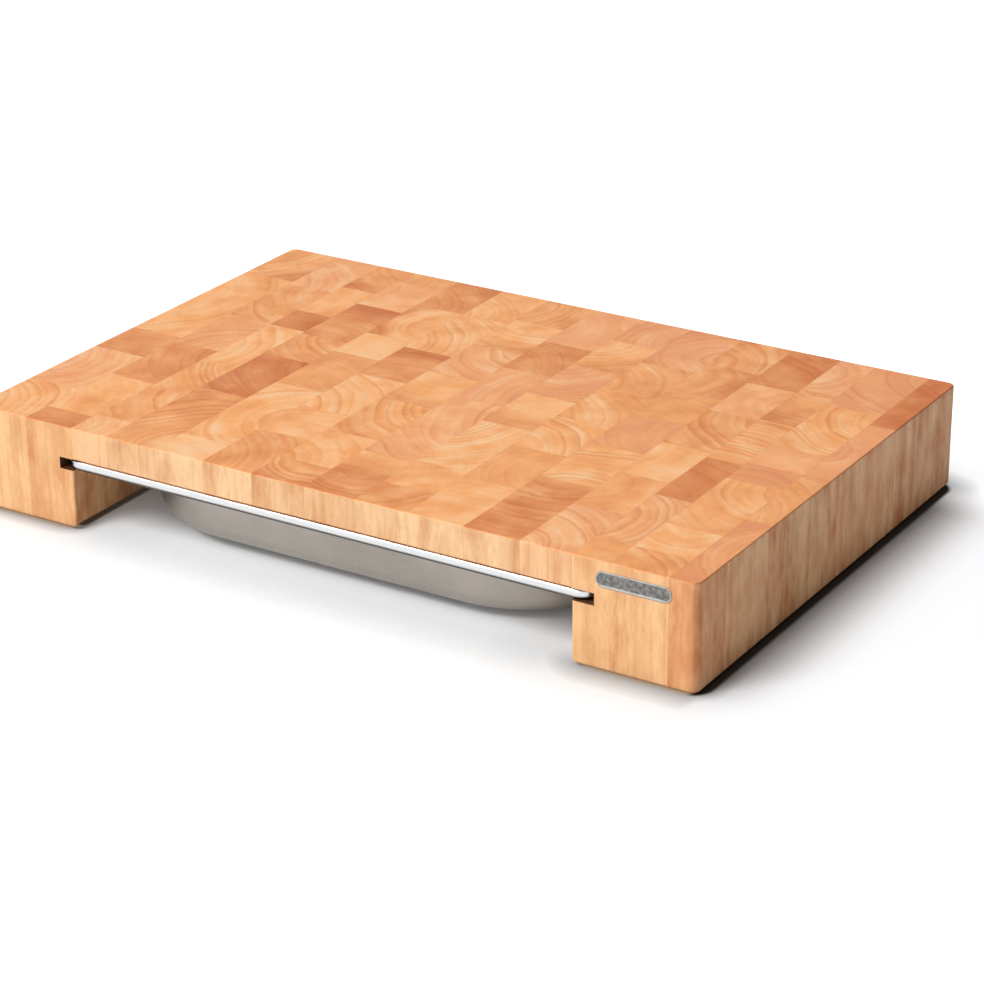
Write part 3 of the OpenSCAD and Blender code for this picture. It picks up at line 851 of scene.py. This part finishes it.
def make_floor():
    """A pale floor that the camera sees white, with painted shade close to where something stands
    on it and a painted shadow under the feet.
    """
    s = Surface("studio_floor", {"Roughness": 0.9, "Specular IOR Level": 0.1})
    x, y, _ = s.split(s.millimetres())
    clear, painted_halo_shade = 1.0, 1.0
    off_middle = s.absolute(y)
    for first, last, halo_width in FEET_X:
        # Distance outside the rounded outline of one wooden foot
        beside = s.minus(s.absolute(s.minus(x, (first + last) / 2)),
                         (last - first) / 2 - SHADOW_CORNER)
        beyond = s.minus(off_middle, SHADOW_DEPTH / 2 - SHADOW_CORNER)
        outside = s.combine(s.math("MAXIMUM", beside, 0.0), s.math("MAXIMUM", beyond, 0.0), 0.0)
        distance = s.minus(s.vector("LENGTH", outside), SHADOW_CORNER)
        clear = s.times(clear, s.ramp(distance, -0.5, CONTACT_SOFTNESS))
        # Painted shade: a soft halo round each foot
        painted_halo_shade = s.times(painted_halo_shade, s.ramp(distance, 0.0, halo_width, 0.46, 1.0, "LINEAR"))
        painted_halo_shade = s.times(painted_halo_shade, s.ramp(distance, 0.0, 3 * halo_width, 0.9, 1.0, "LINEAR"))
    # The feet's soft shade lies in front of them and behind them, not in the channel
    at_ends = s.ramp(off_middle, *SHADE_AT_ENDS)
    soft = s.minus(1.0, s.times(at_ends, s.minus(1.0, painted_halo_shade)))
    # Painted shade: the floor's colour and camera glow are darkened where things stand close over
    # it
    near = s.add("ShaderNodeAmbientOcclusion", {"Distance": CONTACT_REACH}, samples=8).outputs["AO"]
    # The light comes from the left, so the shade is deeper and wider on the right, as far as
    # the board's back corner
    to_right = s.ramp(x, *RIGHT_EDGE)
    past_corner = s.ramp(y, *BACK_CORNER)
    shade_right = s.times(s.ramp(near, 0.40, 0.84, 0.27, 1.0, "LINEAR"),
                          s.ramp(painted_halo_shade, 0.41, 0.66, 0.5, 1.0, "LINEAR"))
    white_right = s.ramp(near, 0.5, 0.92, kind="LINEAR")
    white_open = s.times(soft, s.ramp(near, 0.0, 0.85, 0.12, 1.0, "LINEAR"))
    white_back = s.times(white_open, WHITER_BEHIND)
    # A faint broad shade lies in front of the channel
    faint = s.times(s.ramp(y, *FAINT_FROM_Y), s.ramp(y, *FAINT_TO_Y, 1.0, 0.0))
    faint = s.times(faint, s.ramp(s.absolute(x), *FAINT_HALF_LENGTH, FAINT_DEPTH, 0.0))
    white_front = s.times(white_open, s.minus(1.0, faint))
    shade = s.mix(s.times(to_right, s.minus(1.0, past_corner)), soft, shade_right)
    white = s.mix(past_corner, s.mix(to_right, white_front, white_right), white_back)
    # Painted light: a little way into the gap under the feet the floor is painted lighter and given
    # a painted glow, but not under the right side
    lit_gap = s.times(s.ramp(x, *LIT_GAP_TO_X, 1.0, 0.0),
                      s.ramp(off_middle, *LIT_GAP_FROM_Y, 0.12, 1.0))
    black_gap = s.minus(1.0, lit_gap)
    open_floor = s.shaded(1.0, shade, FLOOR_COLOUR)
    under = s.mix(black_gap, FEET_GAP_PAINTED_SHADOW, RIGHT_GAP_PAINTED_SHADOW)
    s.wire("Base Color", s.mix(clear, under, open_floor))
    open_white = s.shaded(1.0, white, FLOOR_WHITENING)
    glow = s.mix(black_gap, FRONT_GAP_GLOW, (0, 0, 0, 1))
    s.wire("Emission Color", s.mix(clear, glow, open_white))
    s.wire("Emission Strength", seen_directly(s.tree))
    half = FLOOR_HALF_SIZE
    corners = [(-half, -half, 0), (half, -half, 0), (half, half, 0), (-half, half, 0)]
    mesh = bpy.data.meshes.new("studio_floor")
    mesh.from_pydata(corners, [], [(0, 1, 2, 3)])
    mesh.materials.append(s.material)
    floor = bpy.data.objects.new("studio_floor", mesh)
    bpy.context.scene.collection.objects.link(floor)


def make_world():
    """Light from all round, weaker from the right; the camera sees plain white."""
    world = bpy.data.worlds.new("studio")
    bpy.context.scene.world = world
    world.use_nodes = True
    tree = world.node_tree
    tree.nodes.clear()
    output = tree.nodes.new("ShaderNodeOutputWorld")
    direction = tree.nodes.new("ShaderNodeTexCoord")
    parts = tree.nodes.new("ShaderNodeSeparateXYZ")
    tree.links.new(direction.outputs["Generated"], parts.inputs[0])
    sideways = tree.nodes.new("ShaderNodeMapRange")
    sideways.interpolation_type = "SMOOTHSTEP"
    sideways.inputs["From Min"].default_value = -0.5
    sideways.inputs["From Max"].default_value = 0.6
    sideways.inputs["To Min"].default_value = LIGHT_FROM_LEFT
    sideways.inputs["To Max"].default_value = LIGHT_FROM_RIGHT
    tree.links.new(parts.outputs["X"], sideways.inputs["Value"])
    light = tree.nodes.new("ShaderNodeBackground")
    light.inputs["Color"].default_value = (1, 1, 1, 1)
    tree.links.new(sideways.outputs["Result"], light.inputs["Strength"])
    seen = tree.nodes.new("ShaderNodeBackground")
    seen.inputs["Color"].default_value = (1, 1, 1, 1)
    seen.inputs["Strength"].default_value = 1.0
    choose = tree.nodes.new("ShaderNodeMixShader")
    tree.links.new(seen_directly(tree), choose.inputs["Fac"])
    tree.links.new(light.outputs[0], choose.inputs[1])
    tree.links.new(seen.outputs[0], choose.inputs[2])
    tree.links.new(choose.outputs[0], output.inputs["Surface"])


def area_light(name, place, size, power):
    """A round lamp aimed at the middle of the object."""
    lamp = bpy.data.lights.new(name, "AREA")
    lamp.shape, lamp.size, lamp.energy = "DISK", size, power
    item = bpy.data.objects.new(name, lamp)
    item.location = place
    item.rotation_euler = (LIT_POINT - Vector(place)).to_track_quat("-Z", "Y").to_euler()
    bpy.context.scene.collection.objects.link(item)


def make_lights():
    area_light("key", (-1.6, -3.5, 4.0), 2.4, KEY_POWER)
    area_light("fill", (0.1, -2.4, 0.6), 1.2, FILL_POWER)


# The camera's direction in radians, and its distance and shifts in metres
AZIMUTH, ELEVATION, ROLL = 0.554145517, 0.413242269, -0.00564910098
DISTANCE, SHIFT_RIGHT, SHIFT_UP = 1.82768, 0.013233, -0.000714
AIM_HEIGHT = 0.0025
FOCAL_LENGTH, SENSOR_WIDTH = 111.7, 36  # mm


def make_camera():
    """The photograph's viewpoint: in front of the board, to its right and above it."""
    back = Vector((math.sin(AZIMUTH) * math.cos(ELEVATION),
                   -math.cos(AZIMUTH) * math.cos(ELEVATION), math.sin(ELEVATION)))
    level = (-back).cross(Vector((0, 0, 1))).normalized()
    upright = level.cross(-back)
    right = math.cos(ROLL) * level + math.sin(ROLL) * upright
    up = math.cos(ROLL) * upright - math.sin(ROLL) * level
    lens = bpy.data.cameras.new("camera")
    lens.lens, lens.sensor_width, lens.sensor_fit = FOCAL_LENGTH, SENSOR_WIDTH, "HORIZONTAL"
    lens.clip_start, lens.clip_end = 0.05, 60
    camera = bpy.data.objects.new("camera", lens)
    place = Vector((0, 0, AIM_HEIGHT)) + DISTANCE * back + SHIFT_RIGHT * right + SHIFT_UP * up
    turn = Matrix((right, up, back)).transposed().to_4x4()
    camera.matrix_world = Matrix.Translation(place) @ turn
    bpy.context.scene.collection.objects.link(camera)
    bpy.context.scene.camera = camera


make_camera()
make_wood()
make_tray()
make_plate()
make_screws()
make_rubber_feet()
make_floor()
make_world()
make_lights()
bpy.context.scene.view_settings.view_transform = "Standard"
